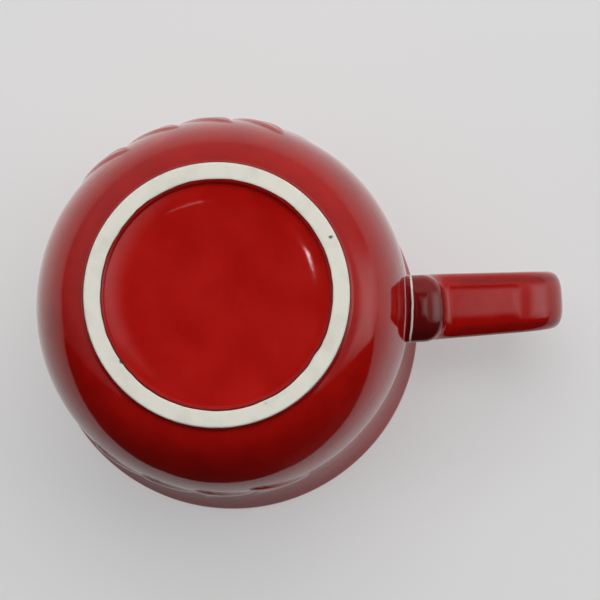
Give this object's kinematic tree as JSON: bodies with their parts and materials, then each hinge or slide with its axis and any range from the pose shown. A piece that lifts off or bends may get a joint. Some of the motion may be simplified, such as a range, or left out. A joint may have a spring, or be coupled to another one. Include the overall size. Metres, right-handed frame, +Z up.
{
  "type": "coffee mug",
  "caption": "Red-glazed ceramic mug with a rounded belly, flared lip, bare clay foot ring and a strap handle with a short tail, for hot drinks.",
  "frame": {"origin": "on the table plane, at the middle of the footprint with the handle included; the pot's own axis is 17.6 mm towards -X", "axes": "+Z up through the mouth, +X towards the handle, +Y to the back, where the back sprig is"},
  "size_m": [0.1332, 0.098, 0.09],
  "materials": {
    "bare_clay": "fired bare clay, off-white, matte and finely pitted",
    "slip": "fired casting slip, matte",
    "red_glaze": "glossy red glaze, a little darker where it pools"
  },
  "bodies": {
    "root": {"clay_body": "bare_clay", "clay_handle": "bare_clay", "upper_slip_joint": "slip", "lower_slip_joint": "slip", "outside_glaze": "red_glaze", "inside_glaze": "red_glaze", "base_glaze": "red_glaze", "handle_glaze": "red_glaze", "front_sprig": "red_glaze", "back_sprig": "red_glaze"}
  },
  "joints": []
}
